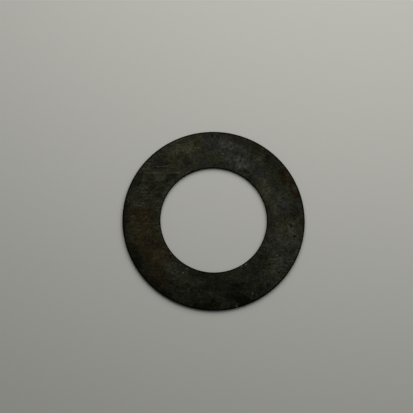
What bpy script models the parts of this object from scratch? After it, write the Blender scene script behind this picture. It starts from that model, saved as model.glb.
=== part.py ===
"""Flat washer: a thin steel ring for a 27 mm bolt or shaft, blanked and pierced in one stroke.

The ring lies on its underside with +Z up. The origin is the centre of the bore, in the plane of the
underside. Lengths are in metres.

One stroke of a compound die cuts the bore and the rim from the same side, so both walls have the same
four bands. From the top down they are the rolled edge that the sheet is drawn into as the die enters, the
straight burnished band that the die cuts, the rougher fracture band that sets back from it, and the small
chamfer that tumbling leaves where the burr was.
"""

import math

import bmesh
import bpy

BORE_DIAMETER = 0.0280
RIM_DIAMETER = 0.0480
THICKNESS = 0.0008

ROLL_WIDTH = 0.00020
ROLL_DROP = 0.00010
BURNISH_HEIGHT = 0.00030
FRACTURE_SETBACK = 0.00003
BURR_CHAMFER = 0.00005

FACETS = 144
ROLL_FACETS = 4

STEEL_COLOR = (0.009, 0.009, 0.006, 1.0)
STEEL_ROUGHNESS = 0.50
STEEL_METALLIC = 0.85
SMOOTH_ANGLE = math.radians(40)


def clear_scene():
    """Removes whatever the scene starts with."""
    for obj in list(bpy.data.objects):
        bpy.data.objects.remove(obj)


def sheared_wall(wall_radius, into_sheet):
    """The (radius, height) points of one cut wall, from the top face down to the underside.

    into_sheet is -1 at the rim and +1 at the bore: the way that radius grows going into the metal.
    """
    points = []
    for step in range(ROLL_FACETS + 1):
        turn = step / ROLL_FACETS * math.pi / 2
        inset = ROLL_WIDTH * (1 - math.sin(turn))
        drop = ROLL_DROP * (1 - math.cos(turn))
        points.append((wall_radius + into_sheet * inset, THICKNESS - drop))
    points.append((wall_radius, THICKNESS - ROLL_DROP - BURNISH_HEIGHT))
    fracture_foot = wall_radius + into_sheet * FRACTURE_SETBACK
    points.append((fracture_foot, BURR_CHAMFER))
    points.append((fracture_foot + into_sheet * BURR_CHAMFER, 0.0))
    return points


def ring_profile():
    """The closed outline of the ring's section: down the rim's wall, in along the underside, up the bore's."""
    rim = sheared_wall(RIM_DIAMETER / 2, into_sheet=-1)
    bore = sheared_wall(BORE_DIAMETER / 2, into_sheet=+1)
    return rim + bore[::-1]


def turned_mesh(name, profile):
    """A mesh of the profile, turned once round the Z axis."""
    shape = bmesh.new()
    corners = [shape.verts.new((radius, 0.0, height)) for radius, height in profile]
    sides = [shape.edges.new(pair) for pair in zip(corners, corners[1:] + corners[:1])]
    bmesh.ops.spin(
        shape,
        geom=corners + sides,
        axis=(0, 0, 1),
        cent=(0, 0, 0),
        angle=math.tau,
        steps=FACETS,
        use_merge=True,
    )
    bmesh.ops.recalc_face_normals(shape, faces=shape.faces)
    mesh = bpy.data.meshes.new(name)
    shape.to_mesh(mesh)
    shape.free()
    mesh.shade_smooth()
    mesh.set_sharp_from_angle(angle=SMOOTH_ANGLE)
    return mesh


def blackened_steel():
    """Mild steel with a thin dark oxide on it."""
    material = bpy.data.materials.new("blackened_steel")
    material.use_nodes = True
    shader = material.node_tree.nodes["Principled BSDF"]
    shader.inputs["Base Color"].default_value = STEEL_COLOR
    shader.inputs["Roughness"].default_value = STEEL_ROUGHNESS
    shader.inputs["Metallic"].default_value = STEEL_METALLIC
    return material


def make_washer():
    """The whole object: one ring, with no joints and nothing fitted to it."""
    mesh = turned_mesh("washer", ring_profile())
    mesh.materials.append(blackened_steel())
    washer = bpy.data.objects.new("washer", mesh)
    bpy.context.scene.collection.objects.link(washer)
    return washer


clear_scene()
make_washer()
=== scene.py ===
# %% [markdown]
# # A worn steel flat washer
# The washer is a thin ring that a press cut from a strip of mild steel. It was blackened, and years of use
# then rubbed, stained and pitted it. This lesson models the ring as it was made, wears it with the tools of
# edit mode, and paints the old finish with nodes.
# A washer has so little shape that a plain tube would pass for it from far away. What makes it real is at
# its edges and on its faces, so that is where the work goes.

# %% Load the frame
import math

import bmesh
import bpy
from mathutils import Matrix, Vector


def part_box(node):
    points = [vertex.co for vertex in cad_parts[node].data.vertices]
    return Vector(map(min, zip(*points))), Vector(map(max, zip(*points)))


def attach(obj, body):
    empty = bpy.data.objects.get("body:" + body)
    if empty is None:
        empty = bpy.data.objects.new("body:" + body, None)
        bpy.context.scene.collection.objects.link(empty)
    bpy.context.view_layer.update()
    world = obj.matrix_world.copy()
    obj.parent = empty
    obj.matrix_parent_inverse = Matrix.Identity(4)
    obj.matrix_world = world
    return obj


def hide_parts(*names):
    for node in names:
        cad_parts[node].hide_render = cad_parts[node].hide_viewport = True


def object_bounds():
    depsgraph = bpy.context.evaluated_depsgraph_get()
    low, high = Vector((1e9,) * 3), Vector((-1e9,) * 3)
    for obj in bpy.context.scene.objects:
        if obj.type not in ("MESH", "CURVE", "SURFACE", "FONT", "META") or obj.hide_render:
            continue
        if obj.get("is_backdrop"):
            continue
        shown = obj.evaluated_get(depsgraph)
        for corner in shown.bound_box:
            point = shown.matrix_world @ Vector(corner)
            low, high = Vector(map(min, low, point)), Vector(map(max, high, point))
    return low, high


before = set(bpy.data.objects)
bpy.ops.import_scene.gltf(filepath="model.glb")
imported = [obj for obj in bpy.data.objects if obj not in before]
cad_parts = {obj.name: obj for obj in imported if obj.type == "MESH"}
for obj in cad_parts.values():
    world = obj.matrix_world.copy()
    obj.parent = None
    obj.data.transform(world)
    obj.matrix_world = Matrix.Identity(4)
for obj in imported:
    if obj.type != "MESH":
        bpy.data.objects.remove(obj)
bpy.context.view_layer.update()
MM = 0.001

# %% [markdown]
# ## The sizes
# Every size comes from the packed solid, so the piece made here fits it exactly. The rim and the thickness
# are the sides of its box. The bore has no box of its own, so it is read as the distance from the axis to
# the nearest corner of the mesh. The flats stop where the edges turn down, at the innermost corners that
# still lie in the plane of the top face or of the underside.

# %% Read the sizes from the frame
SAME_PLACE = 0.001 * MM

low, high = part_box("washer")
THICKNESS = high.z
RIM_RADIUS = high.x
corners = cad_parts["washer"].data.vertices


def innermost(height):
    """The distance from the axis of the nearest corner that lies at this height."""
    return min(math.hypot(v.co.x, v.co.y) for v in corners if abs(v.co.z - height) < SAME_PLACE)


BORE_RADIUS = min(math.hypot(v.co.x, v.co.y) for v in corners)
ROLL_WIDTH = innermost(THICKNESS) - BORE_RADIUS
LOWER_EDGE = innermost(0.0) - BORE_RADIUS
print(f"bore {2 * BORE_RADIUS / MM:.2f}, rim {2 * RIM_RADIUS / MM:.2f}, thickness {THICKNESS / MM:.2f} mm")
print(f"rolled edge {ROLL_WIDTH / MM:.2f} mm wide, lower edge set in by {LOWER_EDGE / MM:.2f} mm")

# %% [markdown]
# ## Camera
# The washer lies on a table and is seen from almost straight above, 12 degrees off. A long lens keeps the
# round rim round. The camera is placed by how far it stands back and how far it leans, and its upper side
# points along Y. It is then slid left and up in its own plane, which puts the washer right of the middle of
# the picture and below it.

# %% Place the camera
LENS = 104.6
STAND_BACK = 316 * MM
LEAN = math.radians(12.2)
LEAN_LEFT = math.radians(6)
SLIDE_LEFT = 1.89 * MM
SLIDE_UP = 3.56 * MM

middle = Vector((0, 0, THICKNESS / 2))
towards_camera = Vector((
    -math.sin(LEAN) * math.sin(LEAN_LEFT), -math.sin(LEAN) * math.cos(LEAN_LEFT), math.cos(LEAN)))
right = Vector((0, 1, 0)).cross(towards_camera).normalized()
turned = Matrix((right, towards_camera.cross(right), towards_camera)).transposed()
camera = bpy.data.objects.new("camera", bpy.data.cameras.new("camera"))
bpy.context.scene.collection.objects.link(camera)
camera.data.lens = LENS
camera.data.clip_start = 10 * MM
camera.rotation_euler = turned.to_euler()
camera.location = middle + turned @ Vector((-SLIDE_LEFT, SLIDE_UP, STAND_BACK))
bpy.context.scene.camera = camera
bpy.context.scene.view_settings.view_transform = "Standard"
print("camera at", [round(side / MM, 1) for side in camera.location], "mm")

# %% [markdown]
# ## Nodes written as sums
# A finish is mostly arithmetic on patterns: this noise times that mask, plus a little of another. Wiring
# each sum by hand hides what it means. So a small class wraps a socket, and Python's own operators on it
# add the Math nodes. Any other node comes from one method, which sets the node up, feeds its sockets and
# wraps what comes out.

# %% A wire that does sums


class Wire:
    """An output socket of a node. The operators + - * and ** on it add Math nodes."""

    def __init__(self, socket):
        self.socket = socket

    def add(self, kind, settings=None, inputs=None, output=0):
        """Adds a node, sets it up, feeds its sockets with numbers or wires, and wraps one of its outputs."""
        tree = self.socket.id_data
        node = tree.nodes.new("ShaderNode" + kind)
        for name, value in (settings or {}).items():
            setattr(node, name, value)
        for key, value in (inputs or {}).items():
            if isinstance(value, Wire):
                tree.links.new(value.socket, node.inputs[key])
            else:
                node.inputs[key].default_value = value
        return Wire(node.outputs[output])

    def maths(self, operation, first, second):
        """A Math node of this operation on two numbers or wires."""
        return self.add("Math", {"operation": operation}, {0: first, 1: second})

    def __add__(self, other):
        return self.maths("ADD", self, other)

    def __sub__(self, other):
        return self.maths("SUBTRACT", self, other)

    def __rsub__(self, other):
        return self.maths("SUBTRACT", other, self)

    def __mul__(self, other):
        return self.maths("MULTIPLY", self, other)

    def __pow__(self, other):
        return self.maths("POWER", self, other)

    __radd__, __rmul__ = __add__, __mul__

    def most(self, other):
        """The larger of the two, which lays one mask over another."""
        return self.maths("MAXIMUM", self, other)

    def least(self, other):
        """The smaller of the two, which keeps a sum of masks from passing a limit."""
        return self.maths("MINIMUM", self, other)

    def rise(self, start, end):
        """0 below start, 1 above end, and a smooth rise between them. It falls where end is the smaller."""
        limits = {"Value": self, "From Min": min(start, end), "From Max": max(start, end)}
        if end < start:
            limits |= {"To Min": 1.0, "To Max": 0.0}
        return self.add("MapRange", {"interpolation_type": "SMOOTHSTEP"}, limits)

    def mixed(self, first, second):
        """A colour: first where this wire is 0, and second where it is 1."""
        return self.add("Mix", {"data_type": "RGBA"}, {0: self, 6: first, 7: second}, output=2)


operators = [name for name in vars(Wire) if name.startswith("__") and callable(getattr(Wire, name))]
print("operators ready:", sorted(set(operators) - {"__init__"}))

# %% [markdown]
# ## Table and light
# The table is a sheet of pale grey paper. Paper is matt and even, so a plane with one rough grey colour is
# enough. It is large, so that its far side stays out of every view and it takes the washer's soft shadow.

# %% Lay the paper
PAPER = (0.386, 0.384, 0.353, 1)
PAPER_ROUGHNESS = 0.9
PAPER_SHINE = 0.2
PAPER_SIDE = 3.0

bpy.ops.object.select_all(action="DESELECT")
bpy.ops.mesh.primitive_plane_add(size=PAPER_SIDE)
paper = bpy.context.object
paper.name = "paper"
paper_finish = bpy.data.materials.new("paper")
paper_finish.use_nodes = True
paper_shader = paper_finish.node_tree.nodes["Principled BSDF"]
paper_shader.inputs["Base Color"].default_value = PAPER
paper_shader.inputs["Roughness"].default_value = PAPER_ROUGHNESS
paper_shader.inputs["Specular IOR Level"].default_value = PAPER_SHINE
paper.data.materials.append(paper_finish)
paper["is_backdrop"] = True
print("paper laid,", PAPER_SIDE, "m each way")

# %% [markdown]
# One big soft lamp hangs low over the paper, a little behind the washer and to its right, and the world
# fills in from all round. The lamp is near, so the paper and the steel are both brighter on its side. An
# area lamp gives the shadow its soft edge. The camera and anything shiny meet a second, plain background,
# which has the colour of the paper, so that the fill can be set by itself.

# %% Hang the lamp and light the world
LAMP_PLACE = Vector((0.03, 0.10, 0.13))
LAMP_SIZE = (0.30, 0.18)
LAMP_WATTS = 0.44
FILL = 0.17
BACKGROUND = (0.36, 0.362, 0.33, 1)

lamp = bpy.data.objects.new("window_lamp", bpy.data.lights.new("window_lamp", "AREA"))
bpy.context.scene.collection.objects.link(lamp)
lamp.data.shape = "RECTANGLE"
lamp.data.size, lamp.data.size_y = LAMP_SIZE
lamp.data.energy = LAMP_WATTS
lamp.location = LAMP_PLACE
lamp.rotation_euler = (-LAMP_PLACE).to_track_quat("-Z", "Y").to_euler()

world = bpy.data.worlds.new("studio")
bpy.context.scene.world = world
world.use_nodes = True
air = world.node_tree
fill = Wire(air.nodes["Background"].outputs[0])
fill.socket.node.inputs["Color"].default_value = (FILL, FILL, FILL, 1)
backdrop = fill.add("Background", inputs={"Color": BACKGROUND})
camera_ray = fill.add("LightPath", output="Is Camera Ray")
glossy_ray = fill.add("LightPath", output="Is Glossy Ray")
glass_ray = fill.add("LightPath", output="Is Transmission Ray")
looking = (camera_ray + glossy_ray + glass_ray).least(1.0)
sky = fill.add("MixShader", inputs={0: looking, 1: fill, 2: backdrop})
air.links.new(sky.socket, air.nodes["World Output"].inputs["Surface"])
print("lamp of", LAMP_WATTS, "W, fill", FILL)

# %% [markdown]
# ## Working in edit mode
# Most of the shaping is done in edit mode, and a tool there acts on what is selected. By hand one clicks on
# it. In code it is picked by where it is or which way it runs, which stays right when a size changes.

# %% Two helpers for edit mode


def edit(obj):
    """Opens this object alone in edit mode, with nothing selected."""
    bpy.ops.object.select_all(action="DESELECT")
    obj.select_set(True)
    bpy.context.view_layer.objects.active = obj
    bpy.ops.object.mode_set(mode="EDIT")
    bpy.ops.mesh.select_all(action="DESELECT")


def pick(obj, wanted, kind="verts"):
    """Selects the corners or edges for which wanted() is true, and says how many there are."""
    bpy.ops.mesh.select_mode(type={"verts": "VERT", "edges": "EDGE"}[kind])
    bpy.ops.mesh.select_all(action="DESELECT")
    shape = bmesh.from_edit_mesh(obj.data)
    chosen = [part for part in getattr(shape, kind) if wanted(part)]
    for part in chosen:
        part.select = True
    shape.select_flush_mode()
    bmesh.update_edit_mesh(obj.data)
    return len(chosen)


# %% [markdown]
# ## The section of the ring
# A press cuts a washer in one stroke, and a cut wall isn't square. Where the punch enters, it first pulls
# the sheet down into a rolled edge. Then it shears a straight, shiny band, and last the steel breaks and
# leaves a rougher band, set back a little. The small chamfer at the foot is where tumbling took the burr.
# A washer is a solid of revolution, so its section is drawn once and turned round the axis. The section
# starts as a plane that stands on edge, at the sizes of the frame. The roll is twice as wide as it is deep,
# and a bevel makes only round corners. So the section is stretched upwards to twice its height, bevelled,
# and let down again.

# %% Draw the section and roll its upper corners
ROLL_SEGMENTS = 5
ROLL_STRETCH = 2.0

bpy.ops.object.select_all(action="DESELECT")
bpy.ops.mesh.primitive_plane_add(
    size=1, location=((BORE_RADIUS + RIM_RADIUS) / 2, 0, THICKNESS / 2), rotation=(math.pi / 2, 0, 0))
washer = bpy.context.object
washer.name = washer.data.name = "washer_ring"
washer.scale = (RIM_RADIUS - BORE_RADIUS, THICKNESS, 1)
bpy.ops.object.transform_apply(location=True, rotation=True, scale=True)

edit(washer)
top = Vector((0, 0, THICKNESS))
bpy.ops.mesh.select_all(action="SELECT")
bpy.ops.transform.resize(value=(1, 1, ROLL_STRETCH), center_override=top)
pick(washer, lambda v: v.co.z > THICKNESS / 2)
bpy.ops.mesh.bevel(offset=ROLL_WIDTH, segments=ROLL_SEGMENTS, affect="VERTICES")
bpy.ops.mesh.select_all(action="SELECT")
bpy.ops.transform.resize(value=(1, 1, 1 / ROLL_STRETCH), center_override=top)
print("the section has", len(bmesh.from_edit_mesh(washer.data).verts), "corners")

# %% [markdown]
# The burnished band ends half way down. A bisect puts a corner into each wall at that height. The lower
# corners then move towards the middle of the sheet, which sets the fracture back, and a bevel of one
# segment takes the burr off them. Dissolving and deleting the face leaves the outline alone.

# %% Set the fracture back and take the burr off
BURNISH_FOOT = THICKNESS / 2
BURR_CHAMFER = 0.05 * MM
SETBACK = LOWER_EDGE - BURR_CHAMFER

bpy.ops.mesh.select_all(action="SELECT")
bpy.ops.mesh.bisect(plane_co=(0, 0, BURNISH_FOOT), plane_no=(0, 0, 1))
pick(washer, lambda v: v.co.z < BURNISH_FOOT / 2)
bpy.ops.transform.resize(
    value=(1 - 2 * SETBACK / (RIM_RADIUS - BORE_RADIUS), 1, 1),
    center_override=((BORE_RADIUS + RIM_RADIUS) / 2, 0, 0))
bpy.ops.mesh.bevel(offset=BURR_CHAMFER, segments=1, affect="VERTICES")
bpy.ops.mesh.select_all(action="SELECT")
bpy.ops.mesh.dissolve_faces()
bpy.ops.mesh.select_all(action="SELECT")
bpy.ops.mesh.delete(type="ONLY_FACE")
print("the outline has", len(bmesh.from_edit_mesh(washer.data).verts), "corners")

# %% [markdown]
# ## Turn it round the axis
# The two flats and the bands of each wall are cut into short steps, so that the wear that comes later has
# corners to move. A Screw modifier with no height then turns the outline once round the axis. The spin
# operator does the same, but it takes many seconds at this number of steps.

# %% Cut the outline up and turn it
STEPS_ROUND = 720
TOP_CUTS = 47
UNDER_CUTS = 31
WALL_CUTS = 2
SHORTEST_FLAT = 1.0 * MM
SHORTEST_WALL = 0.2 * MM


def lies_flat(height):
    """A test for edges of the outline that lie in the plane at this height and aren't short."""
    return lambda e: (
        all(abs(v.co.z - height) < SAME_PLACE for v in e.verts) and e.calc_length() > SHORTEST_FLAT)


def stands_up(e):
    """True for the straight edges of the two walls, and not for the roll or the chamfer."""
    return abs(e.verts[0].co.z - e.verts[1].co.z) > SHORTEST_WALL


for wanted, cuts in ((lies_flat(THICKNESS), TOP_CUTS), (lies_flat(0.0), UNDER_CUTS), (stands_up, WALL_CUTS)):
    found = pick(washer, wanted, "edges")
    bpy.ops.mesh.subdivide(number_cuts=cuts)
    print("cut", found, "edges into", cuts + 1)
bpy.ops.object.mode_set(mode="OBJECT")
turn = washer.modifiers.new("turn", "SCREW")
turn.steps = turn.render_steps = STEPS_ROUND
turn.use_merge_vertices = True
turn.merge_threshold = SAME_PLACE
bpy.ops.object.modifier_apply(modifier="turn")
edit(washer)
bpy.ops.mesh.select_all(action="SELECT")
bpy.ops.mesh.normals_make_consistent(inside=False)
bpy.ops.object.mode_set(mode="OBJECT")
print("the ring has", len(washer.data.polygons), "faces")

# %% [markdown]
# ## Wear
# Rust eats shallow pits into steel, of all sizes and in clusters. A cloud pattern has such a shape if only
# its highest parts are kept, and a Displace modifier sinks the face under them. The same modifier with a
# slow pattern gives both faces the slight unevenness of rolled sheet. It moves corners straight down or up,
# never outwards, so the ring stays inside the size it was packed at. A vertex group keeps it to one face.

# %% Sink the pits and the unevenness
WAVE_SIZE, WAVE_DEPTH, WAVE_KEPT, WAVE_DETAIL = 7 * MM, 0.012 * MM, (0.30, 0.70), 1
PIT_SIZE, PIT_DEPTH, PIT_KEPT, PIT_DETAIL = 0.9 * MM, 0.030 * MM, (0.66, 0.80), 2
RUBBED_DOWN = -0.05  # even the highest places sink by this share of the depth


def flat_group(name, height):
    """Puts the corners of one flat in a vertex group, and returns the group's name."""
    flat = [v.index for v in washer.data.vertices if abs(v.co.z - height) < SAME_PLACE]
    washer.vertex_groups.new(name=name).add(flat, 1.0, "REPLACE")
    return name


def sink(group, size, kept, depth, detail):
    """Sinks a face by a cloud pattern of this size, which counts from the first of kept up to the second."""
    clouds = bpy.data.textures.new(f"{group} clouds", "CLOUDS")
    clouds.noise_scale = size
    clouds.noise_depth = detail
    clouds.use_color_ramp = True
    stops = clouds.color_ramp.elements
    stops[0].position, stops[1].position = kept
    stops[0].color, stops[1].color = (0, 0, 0, 1), (1, 1, 1, 1)
    wear = washer.modifiers.new("wear", "DISPLACE")
    wear.texture = clouds
    wear.texture_coords = "LOCAL"
    wear.vertex_group = group
    wear.direction = "Z"
    wear.mid_level = RUBBED_DOWN
    wear.strength = depth
    bpy.context.view_layer.objects.active = washer
    bpy.ops.object.modifier_apply(modifier="wear")


groups = [(flat_group("top flat", THICKNESS), -1), (flat_group("underside flat", 0.0), 1)]
for group, inwards in groups:
    sink(group, WAVE_SIZE, WAVE_KEPT, inwards * WAVE_DEPTH, WAVE_DETAIL)
    sink(group, PIT_SIZE, PIT_KEPT, inwards * PIT_DEPTH, PIT_DETAIL)
heights = [v.co.z for v in washer.data.vertices if v.co.z > THICKNESS * 0.9]
print(f"the top face now lies between {min(heights) / MM:.3f} and {max(heights) / MM:.3f} mm")

# %% [markdown]
# Knocks are different from rust: each is in one place, mostly on the edge of the bore, where a bolt was
# dragged past. One small patch of the top is pushed straight down, and proportional editing takes the metal
# round it along, less and less with distance. The reach is less than the thickness, so the underside stays.

# %% Knock the edges and the face
KNOCKS = (  # the hour on a clock face, then the distance from the axis, the depth and the reach in mm
    (4.98, 14.30, 0.10, 0.60), (4.81, 14.40, 0.08, 0.50), (6.93, 14.50, 0.07, 0.50),
    (7.71, 14.40, 0.05, 0.70), (11.2, 14.20, 0.05, 0.55), (7.79, 22.60, 0.05, 0.50),
    (6.03, 21.50, 0.06, 0.75), (5.12, 22.50, 0.04, 0.50), (3.14, 20.30, 0.05, 0.60),
    (3.39, 21.70, 0.04, 0.60), (11.97, 22.90, 0.04, 0.50),
)
PRESSED = 0.15 * MM


def by_clock(clock, out):
    """x and y of the place at this hour on a clock face and this far from the axis."""
    hand = math.radians(90 - 30 * clock)
    return out * math.cos(hand), out * math.sin(hand)


edit(washer)
for clock, out, depth, reach in KNOCKS:
    x, y = by_clock(clock, out)
    struck_at = Vector((x * MM, y * MM, THICKNESS))
    pick(washer, lambda v: (v.co - struck_at).length < PRESSED)
    bpy.ops.transform.translate(
        value=(0, 0, -depth * MM), use_proportional_edit=True, proportional_edit_falloff="SMOOTH",
        proportional_size=reach * MM)
bpy.ops.object.mode_set(mode="OBJECT")
print(len(KNOCKS), "knocks, the deepest", max(knock[2] for knock in KNOCKS), "mm")

# %% [markdown]
# The face, the roll and the walls should shade as one smooth surface each, with a crisp line where they
# meet. Smoothing by angle does that: only edges sharper than the given angle stay sharp.

# %% Shade it
SHARPEST_SMOOTH = 40
bpy.ops.object.shade_smooth_by_angle(angle=math.radians(SHARPEST_SMOOTH))
print("shaded smooth, sharp above", SHARPEST_SMOOTH, "degrees")

# %% [markdown]
# ## The finish
# Blackening gives steel a thin dark oxide. It is thickest where nothing rubs, so a face that has lain
# against a nut for years is a cloudy patchwork: darker where the oxide is whole, greyer where steel shows
# through.
# The patterns read the Object coordinates, turned into millimetres here, because every size below is then
# one that could be measured on the washer. Three copies of them are pushed about by noise: a ragged one for
# the outlines of stains, a slightly shaky one for pits and fine lines, and a gently bent one for longer
# strokes. The underside reads its patterns from a place far off to the side, so that it doesn't carry the
# stains and scratches of the top face.

# %% Start the finish
OTHER_FACE = 60  # how far to the side the underside reads its patterns, in mm
UNDERSIDE_TOP = 0.08  # what lies lower than this many mm is the underside

steel = bpy.data.materials.new("blackened_steel")
steel.use_nodes = True
coat = steel.node_tree.nodes["Principled BSDF"]
coordinates = Wire(steel.node_tree.nodes.new("ShaderNodeTexCoord").outputs["Object"])
place = coordinates.add("VectorMath", {"operation": "SCALE"}, {0: coordinates, "Scale": 1 / MM})
across = place.add("SeparateXYZ", inputs={0: place}, output="X")
along = place.add("SeparateXYZ", inputs={0: place}, output="Y")
height = place.add("SeparateXYZ", inputs={0: place}, output="Z")
radius = (across * across + along * along) ** 0.5
beneath = height.maths("LESS_THAN", height, UNDERSIDE_TOP)
place = place.add("VectorMath", {"operation": "MULTIPLY_ADD"}, {0: beneath, 1: (OTHER_FACE, 0, 0), 2: place})


def noise(size, detail=2, roughness=0.5, shift=0.0, at=place, output="Fac"):
    """A cloudy pattern from 0 to 1, with blotches about this many millimetres across."""
    moved = at.add("VectorMath", {"operation": "ADD"}, {0: at, 1: (shift, shift, shift)})
    settings = {"Vector": moved, "Scale": 1 / size, "Detail": detail, "Roughness": roughness}
    return at.add("TexNoise", None, settings, output=output)


def pushed(size, reach, detail, shift):
    """A copy of the coordinates in which each point has moved by up to half this reach, in mm."""
    push = noise(size, detail, 0.6, shift, output="Color")
    centred = push.add("VectorMath", {"operation": "SUBTRACT"}, {0: push, 1: (0.5, 0.5, 0.5)})
    sums = {0: centred, 1: (reach, reach, 0), 2: place}
    return place.add("VectorMath", {"operation": "MULTIPLY_ADD"}, sums)


ragged = pushed(size=2.2, reach=4.5, detail=4, shift=40)
shaky = pushed(size=0.8, reach=0.7, detail=2, shift=55)
bent = pushed(size=3.0, reach=1.6, detail=1, shift=63)
print("coordinates in millimetres, and three pushed copies of them")

# %% [markdown]
# Marks come in three kinds. A spot is one mark that was put where it is, given by its hour on a clock face
# and its distance from the middle. Dots are pits left by rust, at most one in each square, each of its own
# size. Streaks are scratches and brush lines: noise pulled out long and thin, of which only the peaks are
# kept.

# %% Spots, dots and streaks


def spots(marks, inner=0.3, outer=1.2, at=ragged):
    """One mask of long spots, each given as its hour, how far out it is, its length, width and angle.
    It is 1 up to this share of a spot's half size and 0 from outer on."""
    nearest = None
    for clock, out, length, width, turn in marks:
        slope = math.radians(turn)
        apart = at.add("VectorMath", {"operation": "SUBTRACT"}, {0: at, 1: (*by_clock(clock, out), 0)})
        lengthwise = (2 * math.cos(slope) / length, 2 * math.sin(slope) / length, 0)
        sideways = (-2 * math.sin(slope) / width, 2 * math.cos(slope) / width, 0)
        first, second = (
            apart.add("VectorMath", {"operation": "DOT_PRODUCT"}, {0: apart, 1: axis}, output="Value")
            for axis in (lengthwise, sideways))
        both = first.add("CombineXYZ", inputs={0: first, 1: second})
        distance = both.add("VectorMath", {"operation": "LENGTH"}, {0: both}, output="Value")
        nearest = distance if nearest is None else nearest.least(distance)
    return nearest.rise(outer, inner)


def dots(square, share, widest, shift, edge=0.10, at=shaky):
    """Round marks, one in this share of the squares. widest is the largest radius, in squares."""
    moved = at.add("VectorMath", {"operation": "ADD"}, {0: at, 1: (shift, shift, 0)})
    cells = {"Vector": moved, "Scale": 1 / square}
    nearest = at.add("TexVoronoi", {"voronoi_dimensions": "2D"}, cells, output="Distance")
    draw = at.add("TexVoronoi", {"voronoi_dimensions": "2D"}, cells, output="Color")
    chance = at.add("SeparateColor", inputs={0: draw}, output="Red")
    return (chance.rise(1 - share, 1.0) * widest - nearest).rise(-edge, edge)


def streaks(length, width, turn, shift, kept, at=shaky):
    """Streaks this long and wide, in mm, that run at this angle. kept is where a mark starts and is whole."""
    turned = at.add(
        "Mapping", {"vector_type": "TEXTURE"},
        {"Vector": at, "Rotation": (0, 0, math.radians(turn)), "Scale": (length, width, 1)})
    return noise(1, detail=1, shift=shift, at=turned).rise(*kept)


print("three kinds of marks ready")

# %% [markdown]
# The finish is built from two things: a tint, which says what the surface is made of, and a tone, which
# says how light it is. The tone adds up in stops, as exposure does: +1 is twice as light and -1 is half.
# Sums of patterns then look natural, because a stain darkens a bright place and a dull place by the same
# share. Three noises give the oxide its clouds, its mottling and its grain. Each place that rubbing has
# lightened, or has never reached, is a spot of its own, and so are the brownish places and one cool bluish
# place on the right. The bluish places at the top of the face, with a lighter core, are a painted reflection:
# a bright sheen painted into the colour.
# Below, a value in STOPS is how many stops a mask adds, and one in COVER is how fully it covers the tint.

# %% The oxide and a painted sheen
OXIDE = (0.0109, 0.0115, 0.0075, 1)
# painted reflection: this bluish colour tints the painted sheen at the top of the face, and one cool oxide
# place on the right
BLUE_OXIDE_AND_SHEEN = (0.0103, 0.0109, 0.0091, 1)
OXIDE_OLIVE = (0.0120, 0.0117, 0.0056, 1)
OXIDE_BROWN = (0.0132, 0.0112, 0.0052, 1)
STEEL_GREY = (0.0106, 0.0113, 0.0090, 1)
CLOUD_STOPS, MOTTLE_STOPS, GRAIN_STOPS, DARKER_STOPS = 2.2, 1.8, 3.8, 0.38
PATCH_COVER, OLIVE_COVER, BROWN_COVER, COOL_COVER = 0.5, 0.5, 0.25, 0.4
PAINTED_SHEEN_STOPS, LIGHT_CORE_STOPS, RUBBED_STOPS, WHOLE_STOPS = 0.9, 0.35, 0.7, 0.75

clouds = noise(6.0, roughness=0.7)
mottle = noise(2.0, roughness=0.8, shift=11)
grain = noise(0.50, roughness=0.9, shift=23)
tone = (
    (clouds - 0.5) * CLOUD_STOPS + (mottle - 0.5) * MOTTLE_STOPS + (grain - 0.5) * GRAIN_STOPS
    - DARKER_STOPS)

patches = noise(4.0, detail=3, roughness=0.7, shift=71)
tint = (patches.rise(0.45, 0.65) * PATCH_COVER).mixed(OXIDE, OXIDE_OLIVE)
# painted reflection: the bluish sheen at the top of the face, painted into the tint
painted_sheen_places = spots([
    (0.85, 17.2, 10.5, 5.0, -22), (0.45, 19.8, 9.0, 4.5, -10), (1.45, 17.6, 5.0, 3.5, -50),
    (2.56, 18.5, 4.5, 3.5, 0), (11.7, 16.2, 3.0, 2.4, 0), (12.0, 21.2, 6.0, 5.5, 0),
], inner=0.5)
tint = painted_sheen_places.mixed(tint, BLUE_OXIDE_AND_SHEEN)
olive_places = spots([(11.35, 21.0, 11.0, 3.5, 15), (10.9, 19.0, 6.0, 4.0, 35)])
tint = (olive_places * OLIVE_COVER).mixed(tint, OXIDE_BROWN)
# painted highlight: the lightest core of that sheen, painted into the tone
painted_sheen_core = spots([(0.74, 17.2, 9.5, 4.0, -23)])
rubbed_places = spots([
    (0.3, 20.6, 8.0, 4.0, -5), (11.3, 20.8, 9.0, 3.4, 15), (1.7, 16.2, 6.0, 3.4, -50),
    (2.5, 17.0, 5.0, 6.0, 0), (3.5, 21.0, 8.5, 12.0, 10), (4.25, 21.4, 8.0, 10.0, -40),
    (7.25, 17.0, 10.0, 5.4, -38), (6.6, 16.9, 7.0, 4.0, -15), (2.05, 15.8, 4.6, 4.0, -60),
    (7.9, 17.4, 5.0, 7.0, 30),
])
light_core = spots([(7.1, 16.8, 10.0, 4.6, -33)])
whole_places = spots([
    (10.3, 16.2, 9.0, 2.8, 50), (9.9, 22.8, 2.4, 6.0, -30), (12.1, 15.0, 6.0, 1.4, 0),
    (11.2, 17.4, 3.0, 2.4, 0), (1.5, 22.5, 11.0, 3.6, -45), (0.75, 22.6, 8.0, 2.8, -23),
    (2.8, 21.6, 3.0, 4.0, 0), (1.1, 15.2, 4.0, 2.0, -33), (5.4, 18.6, 4.0, 2.6, -30),
    (9.0, 15.3, 2.2, 4.0, 0), (10.5, 20.4, 6.0, 4.6, 45), (1.0, 22.3, 6.0, 3.6, -33),
    (1.5, 15.3, 5.5, 2.8, -45), (10.0, 19.2, 6.0, 4.5, 40), (4.35, 16.3, 3.0, 2.4, 0),
])
browned = noise(2.4, detail=3, roughness=0.7, shift=83).rise(0.50, 0.68) * (1 - painted_sheen_places)
tint = (browned * BROWN_COVER).mixed(tint, OXIDE_BROWN)
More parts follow.
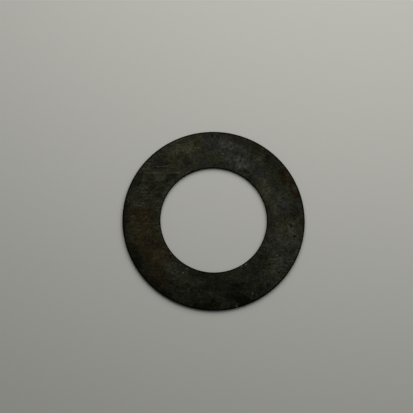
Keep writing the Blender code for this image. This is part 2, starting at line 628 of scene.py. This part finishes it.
cool_place = spots([(3.9, 20.5, 9.0, 15.0, -27)])
tint = (cool_place * COOL_COVER).mixed(tint, BLUE_OXIDE_AND_SHEEN)
tone += (
    painted_sheen_core * PAINTED_SHEEN_STOPS + light_core * LIGHT_CORE_STOPS + rubbed_places * RUBBED_STOPS
    - whole_places * WHOLE_STOPS)
print("the oxide is laid")

# %% [markdown]
# Red rust has spread over the left of the face, where water stood, and it has started at the rim on the
# right. It is brown rather than orange, because it is thin and oily. Along the rim at the lower left the
# oxide has stayed whole and black, and dirt has packed against it. The lower half of the face is darker,
# most of all between five and six o'clock: that is painted shade, a shadow and a dark reflection in the
# colour.

# %% The stains and a painted shade
RUST = (0.0141, 0.0111, 0.0049, 1)
RUST_DEEP = (0.0165, 0.0098, 0.0018, 1)
RUST_COVER, RUST_STOPS, ISLAND_COVER = 0.95, 0.05, 0.9
DEEP_RUST_STOPS, SMALL_RUST_COVER, SMALL_RUST_STOPS = -0.55, 0.45, -0.25
# painted shade: the two last values here darken the lower half of the face and its core, a painted shadow and
# dark reflection
SOOT_COVER, SOOT_STOPS, PAINTED_LOWER_SHADE_STOPS, PAINTED_LOWER_CORE_STOPS = 0.7, -1.2, -0.40, -0.4

rust_left = spots([
    (9.21, 19.2, 6.6, 9.0, 0), (8.81, 19.3, 6.6, 6.5, 0), (8.41, 18.1, 9.2, 7.0, 15),
    (8.00, 18.2, 8.4, 6.5, 25), (7.60, 19.9, 5.4, 8.5, 18), (7.42, 21.3, 4.4, 5.5, 22),
], inner=0.7, outer=1.1) * along.rise(3.8, 3.0)
island = spots([(8.63, 17.4, 2.2, 1.7, 0)], inner=0.6)
rust_share = rust_left * (1 - island * ISLAND_COVER)
tint = (rust_share * RUST_COVER).mixed(tint, RUST)
tone += rust_share * RUST_STOPS
rust_right = spots([(1.89, 22.3, 2.8, 4.0, 33), (2.17, 22.6, 2.0, 3.0, 25), (2.40, 22.5, 2.0, 2.6, 20)])
tint = (rust_right * RUST_COVER).mixed(tint, RUST_DEEP)
tone += rust_right * DEEP_RUST_STOPS
small_rust = spots([
    (3.23, 14.9, 0.7, 1.5, 0), (5.27, 21.6, 2.6, 1.6, 20), (1.51, 17.0, 1.4, 1.2, 0),
    (9.89, 18.6, 1.5, 1.5, 0), (10.46, 23.0, 1.8, 1.2, 45), (4.85, 14.9, 2.6, 0.9, 30),
    (7.71, 14.6, 1.4, 0.6, -50),
])
tint = (small_rust * SMALL_RUST_COVER).mixed(tint, RUST_DEEP)
tone += small_rust * SMALL_RUST_STOPS

soot_rim = spots([
    (9.0, 23.4, 2.6, 13.0, 0), (8.2, 23.2, 3.6, 12.0, 22), (7.3, 23.3, 4.0, 12.0, 50),
    (6.3, 23.4, 14.0, 3.0, 8), (5.3, 23.2, 12.0, 3.4, -22),
], inner=0.4, outer=1.15)
# painted shade: darker towards the bottom of the face, and more between five and six o'clock, a painted
# shadow and dark reflection
painted_lower_shade = along.rise(-7.0, -16.0)
painted_lower_shade_core = spots([(5.6, 20.5, 15.0, 9.0, 10)], outer=1.3)
tint = (soot_rim * SOOT_COVER).mixed(tint, OXIDE_OLIVE)
tone += soot_rim * SOOT_STOPS + painted_lower_shade * PAINTED_LOWER_SHADE_STOPS + painted_lower_shade_core * PAINTED_LOWER_CORE_STOPS
print("rust and soot are laid")

# %% [markdown]
# Rust pits are dark, because light gets lost in them and the oxide in them is never rubbed. The larger ones
# were sunk into the mesh above and are found here by their depth. The smaller ones are dots.

# %% Pits and specks
TOP = THICKNESS / MM
PIT_MOUTH, PIT_FLOOR = 0.012, 0.030
PIT_STOPS, SUNK_STOPS, SMALL_PIT_STOPS, SPECK_STOPS = -1.1, -0.7, -0.8, 0.9
PITS_ANYWHERE, PITS_MORE_RIGHT = 0.35, 0.7
SMALL_ANYWHERE, SMALL_MORE_IN_BLUE = 0.5, 0.5
SPECKS_ANYWHERE, SPECKS_MORE_IN_BLUE = 0.4, 0.6

on_top = height.rise(TOP * 0.5, TOP * 0.8)
sunk = height.rise(TOP - PIT_MOUTH, TOP - PIT_FLOOR) * on_top
pitted = noise(5.0, roughness=0.6, shift=97).rise(0.42, 0.62)
pits = dots(2.2, share=0.60, widest=0.30, shift=3, edge=0.14) * pitted
small_pits = dots(1.1, share=0.45, widest=0.28, shift=17, edge=0.14) * pitted.most(painted_sheen_places)
specks = dots(0.8, share=0.20, widest=0.32, shift=29)
placed_pits = spots([
    (6.03, 21.5, 0.9, 1.5, 0), (11.97, 22.9, 0.7, 0.8, 0), (3.14, 20.3, 0.7, 1.1, 0),
    (3.39, 21.7, 1.2, 0.9, 0), (3.30, 19.2, 0.8, 0.7, 0), (3.78, 20.7, 0.8, 0.8, 0),
    (4.03, 22.0, 1.0, 0.8, 0), (4.42, 19.3, 1.5, 0.45, 20), (0.79, 17.5, 0.8, 0.6, 0),
    (8.1, 23.0, 1.2, 0.9, 40), (7.0, 22.6, 1.2, 0.7, -30), (6.4, 23.0, 1.0, 0.6, 0),
    (3.74, 22.4, 1.6, 1.3, 0), (0.55, 17.3, 0.7, 0.7, 0),
], at=shaky, outer=1.3)
right_side = across.rise(4.0, 14.0)
tone += (
    pits * (right_side * PITS_MORE_RIGHT + PITS_ANYWHERE) * PIT_STOPS + sunk * SUNK_STOPS
    + placed_pits * PIT_STOPS)
tone += (
    small_pits * (painted_sheen_places * SMALL_MORE_IN_BLUE + SMALL_ANYWHERE) * SMALL_PIT_STOPS
    + specks * (painted_sheen_places * SPECKS_MORE_IN_BLUE + SPECKS_ANYWHERE) * SPECK_STOPS)
print("pits and specks are laid")

# %% [markdown]
# Scratches cut through the oxide to the steel, so they are lighter. Most of them are short and thin, and run
# in a few directions, each in its own part of the face.

# %% Scratches
BRUSHED_STOPS, SLANTED_STOPS, DARK_LINE_STOPS, SCRATCH_STOPS, STRUCK_STOPS = 0.6, 0.5, 0.6, 1.7, 1.9
LEVEL_STOPS, LEVEL_MORE_BELOW = 0.1, 0.5

left_side = across.rise(-6.0, -13.0)
brushed = streaks(4.0, 0.28, turn=1, shift=31, kept=(0.50, 0.64)) * left_side * along.rise(-9.0, -3.0)
slanted = (
    streaks(2.4, 0.28, turn=42, shift=37, kept=(0.58, 0.68))
    + streaks(2.0, 0.26, turn=-38, shift=43, kept=(0.60, 0.70)))
level = streaks(2.6, 0.30, turn=-6, shift=47, kept=(0.54, 0.66), at=bent)
dark_lines = (
    streaks(2.2, 0.30, turn=20, shift=53, kept=(0.58, 0.68), at=bent)
    + streaks(1.8, 0.30, turn=-60, shift=59, kept=(0.60, 0.70), at=bent))
tone += (
    brushed * BRUSHED_STOPS + slanted * SLANTED_STOPS
    + level * (along.rise(2.0, -10.0) * LEVEL_MORE_BELOW + LEVEL_STOPS) - dark_lines * DARK_LINE_STOPS)

scratches = spots([
    (10.56, 19.7, 4.2, 0.34, 1), (10.34, 19.4, 6.0, 0.36, 2), (10.71, 16.4, 6.0, 0.36, -2),
    (11.63, 19.8, 1.7, 0.34, -14), (9.88, 20.9, 2.6, 0.28, 0), (9.80, 20.7, 2.2, 0.24, 0),
    (8.82, 19.6, 3.4, 0.30, -1), (8.72, 19.8, 2.2, 0.26, 0), (10.42, 23.0, 1.5, 0.26, -45),
    (10.50, 23.1, 1.3, 0.26, -45), (8.32, 16.1, 1.3, 0.30, -45), (6.67, 19.3, 1.4, 0.30, 45),
    (5.50, 22.7, 1.5, 0.28, 42), (5.58, 22.5, 1.3, 0.26, 42),
], at=bent, inner=0.2, outer=1.0)
struck = spots([
    (5.14, 22.7, 2.2, 0.44, 46), (5.02, 22.9, 1.5, 0.44, -62), (5.10, 22.2, 1.1, 0.40, 80),
    (0.26, 18.2, 0.9, 0.4, 0), (0.40, 18.6, 0.6, 0.40, 0), (5.97, 21.9, 0.4, 0.7, 0),
], at=bent, outer=1.1)
tone += scratches * SCRATCH_STOPS + struck * STRUCK_STOPS
print("scratches are laid")

# %% [markdown]
# The edges carry the last details. A band along the rim and the bore is darkened with painted shade, the
# shade of the rolled edge and the wall. Here and there something has knocked the edge of the bore and left
# a bright nick. On the walls the sheared band is lighter, and the broken band under it is browner and torn.

# %% The edges
RIM_INSET, BORE_INSET = 0.46, 0.36
WALL_OUTSIDE, WALL_INSIDE = 0.01, 0.03
PAINTED_EDGE_SHADE_STOPS, NICK_STOPS, WALL_STOPS, BROKEN_STOPS, TEAR_STOPS = -3.0, 2.8, 2.6, 0.4, 0.8
BROKEN_COVER, WORN_COVER = 0.8, 0.6
BREAK_STARTS, BREAK_WHOLE = 0.52, 0.46

rim, bore = RIM_RADIUS / MM, BORE_RADIUS / MM
on_rim = radius.rise(rim - RIM_INSET, rim - RIM_INSET / 3)
on_bore = radius.rise(bore + BORE_INSET, bore + BORE_INSET / 3)
edges = on_rim.most(on_bore)
nicks = spots([
    (4.98, 14.35, 0.9, 0.40, 30), (4.81, 14.45, 0.8, 0.30, 40), (6.93, 14.7, 1.0, 0.30, -20),
    (7.71, 14.4, 1.2, 0.22, -48), (6.99, 16.2, 0.6, 0.35, 0), (6.39, 15.8, 0.5, 0.35, 0),
    (7.79, 22.5, 0.8, 0.30, 60), (5.52, 23.7, 0.5, 0.30, 20),
], at=shaky, outer=1.1)
# painted shade: a dark band along the rim and the bore, where the rolled edge and the wall fall into shade
tone += edges * (1 - nicks) * PAINTED_EDGE_SHADE_STOPS + nicks * NICK_STOPS
on_wall = radius.rise(rim - WALL_INSIDE, rim - WALL_OUTSIDE).most(
    radius.rise(bore + WALL_INSIDE, bore + WALL_OUTSIDE))
broken = on_wall * height.rise(TOP * BREAK_STARTS, TOP * BREAK_WHOLE)
tears = streaks(0.16, 0.16, turn=0, shift=67, kept=(0.45, 0.65), at=place)
tint = (broken * BROKEN_COVER).mixed(tint, RUST)
tone += on_wall * WALL_STOPS - broken * (tears * TEAR_STOPS + BROKEN_STOPS)
bare = (scratches + struck + nicks + tone.rise(0.5, 1.6) * WORN_COVER * (1 - rust_share)).least(1.0)
tint = bare.mixed(tint, STEEL_GREY)
print("edges are laid")

# %% [markdown]
# The tone turns into a factor, two to its power, and that times the tint is the colour. Rust is rougher and
# less of a metal than oxide, while brushing and nicks have polished the steel a little. Oxide this thin and
# dark has hardly a gloss of its own, so the clear shine of the shader is turned down. A bump adds only what
# is too fine for the mesh, a few hundredths of a millimetre high.

# %% Connect the finish
METAL, RUST_METAL, PIT_METAL = 0.85, 0.25, 0.05
ROUGH, RUST_ROUGH, PIT_ROUGH, BRUSHED_ROUGH, NICK_ROUGH, MOTTLE_ROUGH = 0.46, 0.20, 0.08, 0.06, 0.12, 0.25
GRAIN_HIGH, PIT_DEEP, SCRATCH_DEEP, SLANTED_DEEP, RUST_HIGH = 0.006, 0.020, 0.012, 0.006, 0.03
OXIDE_SHINE = 0.05

brightness = tone.maths("POWER", 2.0, tone)
colour = tint.add("VectorMath", {"operation": "SCALE"}, {0: tint, "Scale": brightness})
links = steel.node_tree.links
links.new(colour.socket, coat.inputs["Base Color"])
rusty = rust_share.most(rust_right).most(broken)
metal = METAL - rusty * RUST_METAL - pits.most(sunk) * PIT_METAL
gloss = (
    ROUGH + rusty * RUST_ROUGH + pits.most(small_pits) * PIT_ROUGH - brushed * BRUSHED_ROUGH
    - nicks * NICK_ROUGH + (mottle - 0.5) * MOTTLE_ROUGH)
relief = (
    grain * GRAIN_HIGH - small_pits * PIT_DEEP - scratches * SCRATCH_DEEP - slanted * SLANTED_DEEP
    + rusty * noise(0.28, roughness=0.7) * RUST_HIGH)
bump = relief.add("Bump", inputs={"Height": relief, "Distance": MM, "Strength": 1.0}, output="Normal")
links.new(metal.socket, coat.inputs["Metallic"])
links.new(gloss.socket, coat.inputs["Roughness"])
links.new(bump.socket, coat.inputs["Normal"])
coat.inputs["Specular IOR Level"].default_value = OXIDE_SHINE
washer.data.materials.append(steel)
print("the finish is on the ring")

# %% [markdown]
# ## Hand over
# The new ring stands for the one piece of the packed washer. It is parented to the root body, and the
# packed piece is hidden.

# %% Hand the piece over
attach(washer, "root")
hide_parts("washer")
print("washer_ring rides on root and stands for washer")

# %% [markdown]
# The last step prints the size of the box round the finished ring. Wear only takes metal away, so this box
# has to lie inside the one that the frame came with.

# %% Print the size of the ring
low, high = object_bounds()
print("visual box in mm:", [round(side / MM, 3) for side in high - low])
